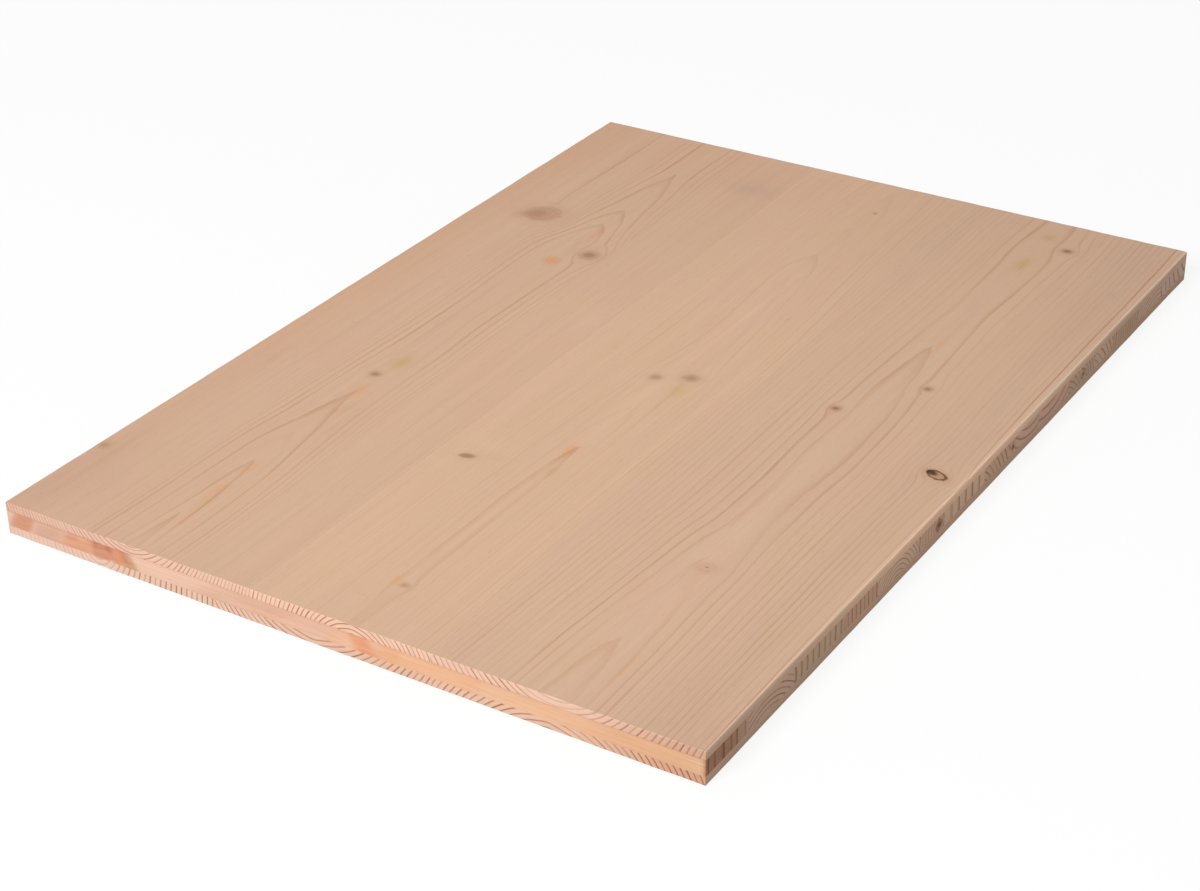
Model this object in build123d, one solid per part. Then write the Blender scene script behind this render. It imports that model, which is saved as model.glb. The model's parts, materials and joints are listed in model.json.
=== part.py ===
"""Three-ply panel: a flat softwood sheet, two face plies glued crosswise onto a core of slats.

Sizes are in millimetres. The panel lies flat, with its underside on z = 0 and its middle on
the z axis. The boards of both face plies run along y, and the core's slats run across them,
along x, so the core shows side grain on the front edge and end grain on the right one.
"""

import os

from build123d import *

# The finished sheet, as it was sawn to size
panel_width = 420.0
panel_length = 600.0

# Thickness of each ply, from the underside up
bottom_ply_thickness = 5.0
core_thickness = 9.0
top_ply_thickness = 5.0

# Widths of the face boards, side by side from left to right. The middle of each row is the
# middle of the panel. The outer boards were this wide before the panel's edges were sawn.
bottom_board_widths = (165.0, 132.0, 175.0)
top_board_widths = (177.5, 108.5, 165.0)

# Widths of the core's slats, side by side from front to back, laid and sawn in the same way
core_slat_widths = (
    72.0, 44.0, 51.0, 36.0, 47.0, 30.0, 51.0, 33.0, 39.0, 43.0, 38.0, 28.0, 41.0, 37.0, 74.0,
)  # fmt: skip

# Rounding that sanding leaves on every outer edge of the sheet
arris_radius = 0.4

panel_thickness = bottom_ply_thickness + core_thickness + top_ply_thickness


def sanded_sheet():
    """The whole panel as one block, with its outer edges rounded over."""
    sheet = Box(
        panel_width,
        panel_length,
        panel_thickness,
        align=(Align.CENTER, Align.CENTER, Align.MIN),
    )
    return fillet(sheet.edges(), arris_radius)


def glued_joints(widths, span):
    """Places of the joints in a row of strips, from the middle of the span that it fills."""
    row_start = -sum(widths) / 2
    joints = [row_start + sum(widths[:laid]) for laid in range(1, len(widths))]
    return [joint for joint in joints if abs(joint) < span / 2]


def parted(block, datum, joints):
    """The pieces of a block, in order, parted along planes at these distances from the datum."""
    pieces = []
    for joint in joints:
        joint_plane = datum.offset(joint)
        pieces.append(split(block, bisect_by=joint_plane, keep=Keep.BOTTOM))
        block = split(block, bisect_by=joint_plane, keep=Keep.TOP)
    return [*pieces, block]


def numbered(name, pieces):
    """The pieces by name, counted from 1, with as many digits as the last number has."""
    digits = len(str(len(pieces)))
    return {f"{name}_{number:0{digits}d}": piece for number, piece in enumerate(pieces, 1)}


def three_ply_panel():
    """Every board and slat of the panel by its name, each where it is glued."""
    underside = Plane.XY
    across_width = Plane.YZ
    across_length = -Plane.XZ

    ply_joints = [bottom_ply_thickness, bottom_ply_thickness + core_thickness]
    bottom_ply, core, top_ply = parted(sanded_sheet(), underside, ply_joints)

    bottom_joints = glued_joints(bottom_board_widths, panel_width)
    core_joints = glued_joints(core_slat_widths, panel_length)
    top_joints = glued_joints(top_board_widths, panel_width)
    return {
        **numbered("bottom_board", parted(bottom_ply, across_width, bottom_joints)),
        **numbered("core_slat", parted(core, across_length, core_joints)),
        **numbered("top_board", parted(top_ply, across_width, top_joints)),
    }


os.makedirs("parts", exist_ok=True)
for name, piece in three_ply_panel().items():
    piece.label = name
    export_step(piece, f"parts/{name}.step")
    print(name, round(piece.volume), "cubic mm")
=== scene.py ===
"""The looks of a three-ply panel: bare sanded softwood, face boards glued across a core of slats.

Every board and every slat is sawn out of a trunk of its own. The trunk's growth rings are worked
out in three dimensions, so a ring that runs along a face turns over the edge and goes on as an
arc in the end grain. Knots push the fibres aside, and small stains and pitch marks lie on top.
A few colour spots are painted light and shade: a highlight along the top right arris, a pool of
light in the middle of the top face, shade at its back, light and shade on the right side, and
shade in the lower boards, the core's end grain and the front edge's left end.

The panel's frame is the part's own: X across the panel, Y along it, Z up, with the underside on
zero. Shapes and places of the wood are in millimetres, and turned into metres when a mesh is
made. Lamps, camera and floor are in metres.
"""

import json
import logging
import math
from collections.abc import Sequence
from dataclasses import dataclass, replace
from enum import Enum
from typing import TypeAlias

import bpy
import numpy as np
from mathutils import Matrix, Vector

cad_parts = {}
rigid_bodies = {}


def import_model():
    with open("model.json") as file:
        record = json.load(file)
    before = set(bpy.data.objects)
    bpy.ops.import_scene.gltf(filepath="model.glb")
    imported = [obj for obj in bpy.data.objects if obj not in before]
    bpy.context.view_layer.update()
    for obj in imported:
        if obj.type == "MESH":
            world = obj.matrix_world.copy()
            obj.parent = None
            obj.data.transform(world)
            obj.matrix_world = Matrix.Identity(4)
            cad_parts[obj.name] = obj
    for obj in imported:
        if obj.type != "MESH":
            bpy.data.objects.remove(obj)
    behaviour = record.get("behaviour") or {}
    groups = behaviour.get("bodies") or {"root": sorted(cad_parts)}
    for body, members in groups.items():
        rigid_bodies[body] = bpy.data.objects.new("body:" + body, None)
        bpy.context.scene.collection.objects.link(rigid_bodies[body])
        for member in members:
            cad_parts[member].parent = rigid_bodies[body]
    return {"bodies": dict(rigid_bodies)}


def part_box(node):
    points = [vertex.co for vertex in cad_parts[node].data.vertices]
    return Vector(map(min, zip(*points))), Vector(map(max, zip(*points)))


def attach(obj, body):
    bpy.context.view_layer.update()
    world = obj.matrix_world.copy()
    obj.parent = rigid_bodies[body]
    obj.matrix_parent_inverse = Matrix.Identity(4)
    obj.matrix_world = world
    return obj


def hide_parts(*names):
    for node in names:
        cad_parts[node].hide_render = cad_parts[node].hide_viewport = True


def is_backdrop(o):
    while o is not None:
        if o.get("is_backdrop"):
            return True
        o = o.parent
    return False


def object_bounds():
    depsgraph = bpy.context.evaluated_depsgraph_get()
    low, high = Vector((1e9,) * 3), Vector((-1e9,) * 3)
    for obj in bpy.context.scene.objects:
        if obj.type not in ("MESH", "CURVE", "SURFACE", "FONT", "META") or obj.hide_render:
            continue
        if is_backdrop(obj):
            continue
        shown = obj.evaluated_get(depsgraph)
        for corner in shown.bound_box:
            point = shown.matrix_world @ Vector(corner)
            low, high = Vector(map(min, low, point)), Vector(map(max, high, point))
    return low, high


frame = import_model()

Array: TypeAlias = np.ndarray
Colour: TypeAlias = tuple[float, float, float]
Point: TypeAlias = tuple[float, float, float]
Span: TypeAlias = tuple[float, float]
Curve: TypeAlias = tuple[tuple[float, float], ...]
Socket: TypeAlias = bpy.types.NodeSocket
Value: TypeAlias = float | Sequence[float] | Socket

log = logging.getLogger("three_ply_panel")

MILLIMETRE = 0.001

LINE_PROBES = 24000
"""Places at which the wanted number of lines of a lattice is added up."""


def srgb(red: int, green: int, blue: int) -> Colour:
    """The linear colour of three screen values from 0 to 255.

    Args:
        red: Red value.
        green: Green value.
        blue: Blue value.

    Returns:
        The colour, as three numbers from 0 to 1.
    """
    screen = np.array([red, green, blue]) / 255
    linear = np.where(screen <= 0.04045, screen / 12.92, ((screen + 0.055) / 1.055) ** 2.4)
    return tuple(float(part) for part in linear)


def grey(level: float) -> tuple[float, float, float, float]:
    """The grey of this linear level, with full alpha."""
    return (level, level, level, 1.0)


def direction(azimuth: float, elevation: float) -> Vector:
    """The direction that is turned this far to the right of the panel's front, and up.

    Args:
        azimuth: Degrees to the right of the front.
        elevation: Degrees above the floor.

    Returns:
        A vector of length 1, from the panel.
    """
    turn, rise = math.radians(azimuth), math.radians(elevation)
    level = math.cos(rise)
    return Vector((math.sin(turn) * level, -math.cos(turn) * level, math.sin(rise)))


class Grain(Enum):
    """The way the fibres of a strip run, as the number of the axis they follow."""

    ALONG_PANEL = 1
    ACROSS_PANEL = 0

    @property
    def along(self) -> int:
        """The axis along the fibres."""
        return self.value

    @property
    def across(self) -> int:
        """The level axis across the fibres."""
        return 1 - self.value


class Heart(Enum):
    """The side of a board on which the heart of its trunk lay, as a sign along Z."""

    ABOVE = 1
    BELOW = -1


class Mark(Enum):
    """A kind of stain or of painted light, as what the wood's linear colour is multiplied by in its
    middle.
    """

    PITCH = (1.05, 0.76, 0.48)
    AMBER = (0.77, 0.49, 0.35)
    UMBER = (0.72, 0.56, 0.46)
    ROSE = (0.84, 0.80, 0.85)
    OLIVE = (0.84, 0.86, 0.52)
    GREY = (0.80, 0.87, 0.90)
    PALE = (1.08, 1.11, 1.15)
    # Lighter. Used as painted light in the middle of the top face and on the top right board's
    # right side.
    BRIGHT = (1.38, 1.30, 1.27)
    # Painted highlight: the pale, bluish line where the rounded top right arris catches the light.
    ARRIS_HIGHLIGHT = (1.22, 1.36, 1.48)


# Curves and waves

def eased(place: Array, points: Sequence[tuple[float, float]]) -> Array:
    """A smooth curve through a few points, level beyond its ends.

    Between two points it is a cubic Hermite curve. Its slope at a point is the mean slope on
    the two sides of it.

    Args:
        place: Where the curve is wanted.
        points: Pairs of place and value, in order of place.

    Returns:
        The value at each place.
    """
    knots, values = np.array(points, float).T
    slopes = np.gradient(values, knots)
    left = np.clip(np.searchsorted(knots, place) - 1, 0, len(knots) - 2)
    span = knots[left + 1] - knots[left]
    t = np.clip((place - knots[left]) / span, 0, 1)
    start = (1 + 2 * t) * (1 - t) ** 2 * values[left] + t * (1 - t) ** 2 * span * slopes[left]
    finish = t * t * (3 - 2 * t) * values[left + 1] - t * t * (1 - t) * span * slopes[left + 1]
    return start + finish


def graded(place: Array, points: Sequence[tuple[float, float]]) -> Array:
    """Straight lines through a few points, given as pairs of place and value in order of place."""
    return np.interp(place, *np.transpose(points))


def ripples(seed: int, along: Array, across: Array, long_wave: float, cross_wave: float) -> Array:
    """Seeded waves that run mostly along the grain, mostly between -1 and 1.

    A sum of sines, each of which has its own wavelength, slant and phase.

    Args:
        seed: Number that the waves are drawn from.
        along: Places along the grain.
        across: Places across the grain.
        long_wave: Typical wavelength along the grain.
        cross_wave: Typical wavelength across the grain.

    Returns:
        The height of the waves at each place.
    """
    draw = np.random.default_rng(seed)
    waves = 7
    pitch = 2 * math.pi * draw.uniform(0.4, 1.7, waves) / long_wave
    slant = 2 * math.pi * draw.normal(0, 1, waves) / cross_wave
    phase = draw.uniform(0, 2 * math.pi, waves)
    heights = np.sin(along[:, None] * pitch + across[:, None] * slant + phase)
    return heights.sum(axis=1) / math.sqrt(waves)


# The tree

@dataclass(frozen=True)
class Knot:
    """A branch cut through by the saw, as an ellipsoid round the place where it shows.

    Attributes:
        centre: Its middle, as x, y and z.
        reach: Half its size along x, y and z. Through a thin board a branch goes on upright.
        turn: Degrees that it is turned about the vertical, anticlockwise from above.
        body: How much of the knot's own colour fills it, from 0 to 1.
        core: How dark its middle is.
        core_reach: Size of the dark middle, as a share of the reach.
        rim: How dark the line round it is.
        greyness: Its colour, from 0 for red-brown to 1 for grey-brown.
        core_shift: How far the dark middle lies off centre, as a share of the reach.
        sunk: How deep sanding has left it below the face.
    """

    centre: Point
    reach: Point
    turn: float = 0.0
    body: float = 0.5
    core: float = 0.5
    core_reach: float = 0.5
    rim: float = 0.2
    greyness: float = 0.5
    core_shift: float = 0.0
    sunk: float = 0.05

    def local(self, points: Array) -> Array:
        """Points seen from the knot: turned upright with it and divided by its reach.

        Args:
            points: Points of the wood.

        Returns:
            Their places in the knot.
        """
        angle = math.radians(self.turn)
        cos, sin = math.cos(angle), math.sin(angle)
        x, y, z = (points - self.centre).T
        turned = np.stack([cos * x + sin * y, cos * y - sin * x, z], axis=1)
        return turned / self.reach


@dataclass(frozen=True)
class ColourSpot:
    """A spot of colour: mostly stains in the wood, and in a few places painted light and shade.

    Attributes:
        kind: Its colour.
        centre: Its middle, as x, y and z.
        reach: Distances along x, y and z in which it fades to about a third.
        strength: How strong it is in the middle, where 1 gives the kind's own colour.
        crispness: How sharply it ends: 2 for a soft spot, and more for a crisp one.
        slant: How far it leans along x for each millimetre of height.
    """

    kind: Mark
    centre: Point
    reach: Point
    strength: float
    crispness: float = 2.0
    slant: float = 0.0

    def gain(self, points: Array) -> Array:
        """What the colour is multiplied by at points of the wood.

        The strength falls with the distance from the middle, in the spot's own reach, as a bell
        curve whose power is the crispness.

        Args:
            points: Points of the wood.

        Returns:
            A factor for red, green and blue at each point.
        """
        place = points - self.centre
        place[:, 0] -= self.slant * place[:, 2]
        distance = np.linalg.norm(place / self.reach, axis=1)
        amount = self.strength * np.exp(-(distance**self.crispness))
        return 1 + amount[:, None] * (np.array(self.kind.value) - 1)


@dataclass(frozen=True)
class Showing:
    """A patch of a face in which the growth rings show better or worse.

    Attributes:
        centre: Its middle, as x and y.
        reach: Half its size along x and y.
        gain: What the strength of the rings is multiplied by in it.
    """

    centre: Span
    reach: Span
    gain: float

    def at(self, points: Array) -> Array:
        """The factor at points of the face, which falls off like a flat-topped bell."""
        distance = np.linalg.norm((points[:, :2] - self.centre) / self.reach, axis=1)
        return 1 + (self.gain - 1) * np.exp(-(distance**4))


@dataclass(frozen=True)
class Trunk:
    """The growth rings that a strip was sawn through.

    The heart of the tree is a line beside the strip. A ring's number at a point is the distance
    to that line, read off the list of ring radii.

    Attributes:
        ring_width: Usual width of a ring.
        heart_line: The heart's path, as places along the grain with the heart's place across the
            grain and its height.
        radii: Outer radii of rings of uneven width, in order. The rings inside and outside of
            these go on at the usual width.
        first_ring: Number of the first of those rings.
        wander: How far a ring strays from its circle, in rings.
        ridge: How far a ring drops from its circle beside the line over the heart, so that it
            comes to a point there.
        ridge_reach: Distance from that line in which it drops the most.
        sway_reach: Distance from the heart in which its bends die out, so that the rings far
            from it run straight.
        bulge: How many rings deep the wood swells round a knot.
        seed: Number that the straying is drawn from.
        parting: How much longer than a knot the bend of the fibres round it is.
        parting_fade: Squared distance from a knot, in its reach, in which that bend dies out.
        bulge_fade: The same for the swelling.
        blunting: Distance from the line over the heart in which a ring's point is rounded off.
        listed_beyond: How many rings are counted inside and outside of the given ones.
    """

    ring_width: float
    heart_line: tuple[Point, ...]
    radii: tuple[float, ...] = ()
    first_ring: int = 0
    wander: float = 0.12
    ridge: float = 0.0
    ridge_reach: float = 6.0
    sway_reach: float = 60.0
    bulge: float = 0.35
    seed: int = 1

    parting: float = 1.8
    parting_fade: float = 40.0
    bulge_fade: float = 7.0
    blunting: float = 0.4
    listed_beyond: int = 60

    def heart(self, along: Array) -> tuple[Array, Array]:
        """Place of the heart across the grain, and its height, at these places along it.

        Args:
            along: Places along the grain.

        Returns:
            The place across, and the height.
        """
        across = eased(along, [(place, side) for place, side, _ in self.heart_line])
        height = eased(along, [(place, level) for place, _, level in self.heart_line])
        return across, height

    def counted(self, radius: Array) -> Array:
        """Ring numbers at these radii: whole at a ring's outer side, and even in between.

        Args:
            radius: Distances from the heart.

        Returns:
            The ring number at each.
        """
        if not self.radii:
            return radius / self.ring_width
        beyond = np.arange(1, self.listed_beyond) * self.ring_width
        inner = self.radii[0] - beyond[::-1]
        outer = self.radii[-1] + beyond
        edges = np.concatenate([inner, self.radii, outer])
        numbers = np.arange(len(edges)) - len(inner) + self.first_ring
        return np.interp(radius, edges, numbers)

    def rings(self, points: Array, grain: Grain, knots: Sequence[Knot]) -> Array:
        """Ring numbers at points of the wood.

        Round a knot the fibres part as water does round a stone: the place across the grain is
        that of the streamline through the point, u * (1 - 1 / d^2), where u is the place across
        and d the distance, both in units of the knot. The rings also swell outwards there, by
        a bell curve, so their number falls.

        Args:
            points: Points of the wood.
            grain: The way that its fibres run.
            knots: The knots in it.

        Returns:
            The ring number at each point. The part behind the point says how old the ring is.
        """
        along = points[:, grain.along]
        across = points[:, grain.across].copy()
        swelling = np.zeros(len(points))
        for knot in knots:
            place = knot.local(points)
            place[:, grain.along] /= self.parting
            distance = np.maximum((place**2).sum(axis=1), 1)
            fade = np.exp(-distance / self.parting_fade)
            across -= place[:, grain.across] * knot.reach[grain.across] / distance * fade
            swelling += knot.body * np.exp(-distance / self.bulge_fade)
        heart_across, heart_height = self.heart(along)
        aside = across - heart_across
        straight = np.mean([side for _, side, _ in self.heart_line])
        aside += (heart_across - straight) * (1 - np.exp(-((aside / self.sway_reach) ** 2)))
        radius = np.hypot(aside, points[:, 2] - heart_height)
        radius += self.ridge * np.tanh(np.hypot(aside, self.blunting) / self.ridge_reach)
        number = self.counted(radius)
        number += self.wander * ripples(self.seed, along, across, 420.0, 90.0)
        number += 0.3 * self.wander * ripples(self.seed + 1, along, across, 90.0, 35.0)
        return number - self.bulge * swelling


# The shape of the wood

@dataclass(frozen=True)
class Sheet:
    """The whole panel, as a block whose outer edges were rounded by sanding.

    Attributes:
        low: Its lowest corner.
        high: Its highest corner.
        arris_radius: Middle radius of the rounding.
        arris_wander: Share by which that radius changes along an edge.
    """

    low: Array
    high: Array
    arris_radius: float = 0.42
    arris_wander: float = 0.4

    def rounded(self, points: Array) -> tuple[Array, Array, Array]:
        """Moves points of the square block to the block with rounded edges.

        A point is first pulled back to the block that is smaller by the radius all round. What
        is left over, in radii, is a point of a cube, which is brought to the ball inside it by
        scaling it with its largest part over its length.

        Args:
            points: Points on or inside the square block.

        Returns:
            The points of the rounded block, the directions that face outwards there, and
            whether each point lies on the outside of the panel.
        """
        run = points.sum(axis=1)
        sway = ripples(77, run, points[:, 0] - points[:, 1], 60.0, 80.0)
        radius = self.arris_radius * (1 + self.arris_wander * np.clip(sway, -1, 1))[:, None]
        inside = np.clip(points, self.low + radius, self.high - radius)
        over = (points - inside) / radius
        length = np.linalg.norm(over, axis=1, keepdims=True)
        largest = np.abs(over).max(axis=1, keepdims=True)
        outwards = over / np.maximum(length, 1e-9)
        on_outside = largest[:, 0] > 1 - 1e-6
        return inside + radius * outwards * largest, outwards, on_outside


@dataclass(frozen=True)
class Focus:
    """A stretch of a lattice where its lines lie closer together.

    Attributes:
        middle: Where the stretch is.
        reach: How far it goes to each side.
        gap: The gap between two lines in it.
    """

    middle: float
    reach: float
    gap: float


def spread_lines(low: float, high: float, gap: float, focuses: Sequence[Focus]) -> Array:
    """Places of the lines of a lattice, closer together where the shape needs them.

    The wanted number of lines to the millimetre is added up from the start. Each line lies where
    that sum is one more than at the line before it.

    Args:
        low: Place of the first line.
        high: Place of the last line.
        gap: Usual gap between two lines.
        focuses: Stretches with closer lines.

    Returns:
        The places of the lines, in order.
    """
    place = np.linspace(low, high, LINE_PROBES)
    crowding = np.full(len(place), 1 / gap)
    for focus in focuses:
        nearness = np.exp(-(((place - focus.middle) / focus.reach) ** 4))
        crowding = np.maximum(crowding, nearness / focus.gap)
    steps = (crowding[1:] + crowding[:-1]) / 2 * np.diff(place)
    count = np.concatenate([[0], np.cumsum(steps)])
    return np.interp(np.linspace(0, count[-1], round(count[-1]) + 1), count, place)


def lattice_box(lines: Sequence[Array]) -> tuple[Array, Array]:
    """The closed surface of a box, parted by lines along its three axes.

    The corners of all cells are numbered where they lie on the box's surface, and each side of
    the box is a grid of those numbers.

    Args:
        lines: Places of the lines along x, y and z.

    Returns:
        The corners of the surface, and its four-sided faces, which face outwards.
    """
    counts = tuple(len(places) for places in lines)
    on_surface = np.zeros(counts, bool)
    for axis in range(3):
        side = [slice(None)] * 3
        side[axis] = [0, -1]
        on_surface[tuple(side)] = True
    corners = np.stack(np.meshgrid(*lines, indexing="ij"), axis=-1)[on_surface]
    numbers = np.full(counts, -1)
    numbers[on_surface] = np.arange(len(corners))
    faces = []
    for axis in range(3):
        for end, turned in ((0, axis != 1), (-1, axis == 1)):
            grid = np.take(numbers, end, axis=axis)
            loop = [grid[:-1, :-1], grid[1:, :-1], grid[1:, 1:], grid[:-1, 1:]]
            quads = np.stack(loop[::-1] if turned else loop, axis=-1)
            faces.append(quads.reshape(-1, 4))
    return corners, np.concatenate(faces)


def mesh_object(
    name: str, corners: Array, faces: Array, values: dict[str, Array],
) -> bpy.types.Object:
    """A smooth-shaded object from arrays, with named values at its corners.

    Args:
        name: Name of the object and its mesh.
        corners: Its corners, in metres.
        faces: Four corner numbers for each face.
        values: One number, or a row of three, for each corner, by name.

    Returns:
        The object, linked to the scene.
    """
    mesh = bpy.data.meshes.new(name)
    mesh.vertices.add(len(corners))
    mesh.vertices.foreach_set("co", corners.astype(np.float32).ravel())
    mesh.loops.add(faces.size)
    mesh.loops.foreach_set("vertex_index", faces.astype(np.int32).ravel())
    mesh.polygons.add(len(faces))
    mesh.polygons.foreach_set("loop_start", np.arange(0, faces.size, 4, dtype=np.int32))
    mesh.update(calc_edges=True)
    mesh.shade_smooth()
    for label, numbers in values.items():
        kind, key = ("FLOAT", "value") if numbers.ndim == 1 else ("FLOAT_VECTOR", "vector")
        layer = mesh.attributes.new(label, kind, "POINT")
        layer.data.foreach_set(key, numbers.astype(np.float32).ravel())
    piece = bpy.data.objects.new(name, mesh)
    bpy.context.scene.collection.objects.link(piece)
    return piece


# Finishes

def blank_material(name: str) -> bpy.types.Material:
    """A new material that is made of nodes.

    Args:
        name: Its name.

    Returns:
        The material, with its first nodes still in it.
    """
    material = bpy.data.materials.new(name)
    material.use_nodes = True
    return material


class Graph:
    """A node tree, with a short method for each kind of node that wood needs.

    Attributes:
        browning_green: How much faster green darkens than red where wood is browned, as a power.
        browning_blue: The same for blue.
    """

    browning_green: float = 1.28
    browning_blue: float = 1.75

    def __init__(self, tree: bpy.types.NodeTree) -> None:
        """Empties the tree."""
        self.tree = tree
        tree.nodes.clear()

    def node(self, kind: str, inputs: dict[str | int, Value], **settings: object) -> bpy.types.Node:
        """Adds a node.

        Args:
            kind: Blender's name for it.
            inputs: What goes into its sockets: a number, a row of numbers or another socket.
            settings: Its other options.

        Returns:
            The node.
        """
        made = self.tree.nodes.new(kind)
        for option, setting in settings.items():
            setattr(made, option, setting)
        for key, value in inputs.items():
            if isinstance(value, bpy.types.NodeSocket):
                self.tree.links.new(value, made.inputs[key])
            else:
                made.inputs[key].default_value = value
        return made

    def value(self, name: str) -> Socket:
        """A number that the mesh carries at its corners."""
        return self.node("ShaderNodeAttribute", {}, attribute_name=name).outputs["Fac"]

    def vector(self, name: str) -> Socket:
        """A row of three numbers that the mesh carries at its corners."""
        return self.node("ShaderNodeAttribute", {}, attribute_name=name).outputs["Vector"]

    def parts(self, vector: Socket) -> tuple[Socket, Socket, Socket]:
        """The three numbers of a vector."""
        split = self.node("ShaderNodeSeparateXYZ", {"Vector": vector})
        return tuple(split.outputs)

    def math(self, operation: str, *values: Value) -> Socket:
        """The result of a sum on numbers, by Blender's name for it."""
        made = self.node("ShaderNodeMath", dict(enumerate(values)), operation=operation)
        return made.outputs[0]

    def scaled(
        self, value: Value, low: Value, high: Value, bottom: Value, top: Value, way: str = "LINEAR",
    ) -> Socket:
        """The value brought from one range to another, and held inside it.

        Args:
            value: The value.
            low: Where its range starts.
            high: Where its range ends.
            bottom: Where the new range starts.
            top: Where the new range ends.
            way: Blender's name for the curve between.

        Returns:
            The new value.
        """
        limits = {"From Min": low, "From Max": high, "To Min": bottom, "To Max": top}
        inputs = {"Value": value, **limits}
        return self.node("ShaderNodeMapRange", inputs, interpolation_type=way).outputs["Result"]

    def step(self, value: Value, low: Value, high: Value, top: Value = 1.0) -> Socket:
        """A smooth step from 0 up to the top while the value goes from low to high."""
        return self.scaled(value, low, high, 0.0, top, "SMOOTHSTEP")

    def fall(self, value: Value, low: Value, high: Value, top: Value = 1.0) -> Socket:
        """A smooth step down from the top to 0 while the value goes from low to high."""
        return self.scaled(value, low, high, top, 0.0, "SMOOTHSTEP")

    def blend(self, share: Value, first: Value, second: Value) -> Socket:
        """A number between two others."""
        inputs = {0: share, 2: first, 3: second}
        return self.node("ShaderNodeMix", inputs, data_type="FLOAT").outputs[0]

    def tint(self, share: Value, first: Value, second: Value, way: str = "MIX") -> Socket:
        """A colour between two others, or one laid over the other in another way."""
        inputs = {0: share, 6: opaque(first), 7: opaque(second)}
        return self.node("ShaderNodeMix", inputs, data_type="RGBA", blend_type=way).outputs[2]

    def gain(self, colour: Value, amount: Socket) -> Socket:
        """A colour made lighter or darker by a factor."""
        inputs = {"Vector": colour, "Scale": amount}
        return self.node("ShaderNodeVectorMath", inputs, operation="SCALE").outputs["Vector"]

    def browned(self, colour: Socket, share: Socket) -> Socket:
        """A colour darkened by a share: green goes faster than red, and blue faster still.

        Args:
            colour: The colour.
            share: How much darker it gets.

        Returns:
            The darker colour.
        """
        left = self.math("SUBTRACT", 1.0, share)
        green = self.math("POWER", left, self.browning_green)
        blue = self.math("POWER", left, self.browning_blue)
        parts = self.node("ShaderNodeCombineXYZ", {"X": left, "Y": green, "Z": blue})
        return self.tint(1.0, colour, parts.outputs["Vector"], "MULTIPLY")

    def length(self, vector: Socket) -> Socket:
        """The length of a vector."""
        return self.node("ShaderNodeVectorMath", {0: vector}, operation="LENGTH").outputs["Value"]

    def moved(self, vector: Socket, shift: Value) -> Socket:
        """A vector with another added to it."""
        inputs = {0: vector, 1: shift}
        return self.node("ShaderNodeVectorMath", inputs, operation="ADD").outputs["Vector"]

    def noise(self, periods: Point, detail: float, roughness: float, shift: float) -> Socket:
        """Soft noise on the panel's own coordinates.

        Args:
            periods: Size of its patches along x, y and z, in millimetres.
            detail: How many finer noises are added to it.
            roughness: How strong those are.
            shift: Distance that it is moved by, so that two noises differ.

        Returns:
            The noise, round 0.5.
        """
        place = self.node("ShaderNodeTexCoord", {}).outputs["Object"]
        scale = tuple(1 / (period * MILLIMETRE) for period in periods)
        spot = (shift, shift * 0.7, shift * 1.3)
        inputs = {"Vector": place, "Scale": scale, "Location": spot}
        stretched = self.node("ShaderNodeMapping", inputs)
        return self.noise_at(stretched.outputs["Vector"], 1.0, detail, roughness)

    def noise_at(self, vector: Socket, scale: float, detail: float, roughness: float) -> Socket:
        """Soft noise on a vector, round 0.5."""
        inputs = {"Vector": vector, "Scale": scale, "Detail": detail, "Roughness": roughness}
        return self.node("ShaderNodeTexNoise", inputs).outputs["Fac"]


def opaque(colour: Value) -> Value:
    """A colour with full alpha added, or the socket that it is."""
    return colour if isinstance(colour, bpy.types.NodeSocket) else (*colour, 1.0)


class Pattern(Enum):
    """A soft noise that is stretched along the fibres.

    Its numbers are the size of its patches across and along the fibres in millimetres, how many
    finer noises are added to it, how strong those are, and how far it is moved, so that no two
    look alike.
    """

    FIBRES = (0.55, 34.0, 4.0, 0.62, 0.0)
    FRAY = (1.3, 42.0, 3.0, 0.6, 3.0)
    FADING = (14.0, 150.0, 2.0, 0.5, 5.0)
    BANDS = (5.0, 260.0, 3.0, 0.55, 11.0)
    CANALS = (0.42, 6.5, 1.0, 0.4, 7.0)
    PATCHES = (30.0, 75.0, 2.0, 0.5, 17.0)
    BREAKS = (1.6, 14.0, 3.0, 0.6, 23.0)


@dataclass(frozen=True)
class KnotDrawing:
    """How a knot is drawn, with its distances in the knot's own reach.

    Attributes:
        grain: Size of the ragged outline's bends, as the scale of its noise.
        ragged: How far the outline strays.
        ragged_core: How far the core's outline strays.
        near: Share of the carried distance that the drawn one never falls below.
        halo: Where the halo starts to fade, and where it ends.
        halo_share: How strong the halo is.
        body: Where the body starts to fade, and where it ends.
        years: How close its faint rings are.
        year_shade: How much of its colour it has between those rings.
        rim_rise: Where the rim starts, and where it is full.
        rim_fall: Where the rim starts to fade, and where it ends.
        core: Where the core starts to fade, and where it ends, as shares of its own size.
        core_fall: Where what the core has outside the body starts to fade, and where it ends.
    """

    grain: float = 1.7
    ragged: float = 0.5
    ragged_core: float = 0.4
    near: float = 0.9
    halo: Span = (0.7, 2.3)
    halo_share: float = 0.3
    body: Span = (0.68, 1.16)
    years: float = 21.0
    year_shade: float = 0.7
    rim_rise: Span = (0.68, 0.9)
    rim_fall: Span = (0.95, 1.18)
    core: Span = (0.45, 1.35)
    core_fall: Span = (0.95, 1.3)


@dataclass(frozen=True)
class Relief:
    """The fine relief of sanded and sawn wood, with its heights in millimetres.

    Attributes:
        fibres: Height of the fibres on a sanded face.
        sawn_fibres: Their height on a sawn edge.
        late: How far summer wood stands proud.
        knot: How far a knot stands proud.
        teeth: Height of the saw's marks.
        teeth_noise: The marks' size along x, y and z, their detail, its strength, and their place.
        strength: Share of the relief that shows.
    """

    fibres: float = 0.02
    sawn_fibres: float = 0.035
    late: float = 0.006
    knot: float = 0.02
    teeth: float = 0.05
    teeth_noise: tuple[Point, float, float, float] = ((1.1, 1.1, 40.0), 2.0, 0.55, 31.0)
    strength: float = 0.55


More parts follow.
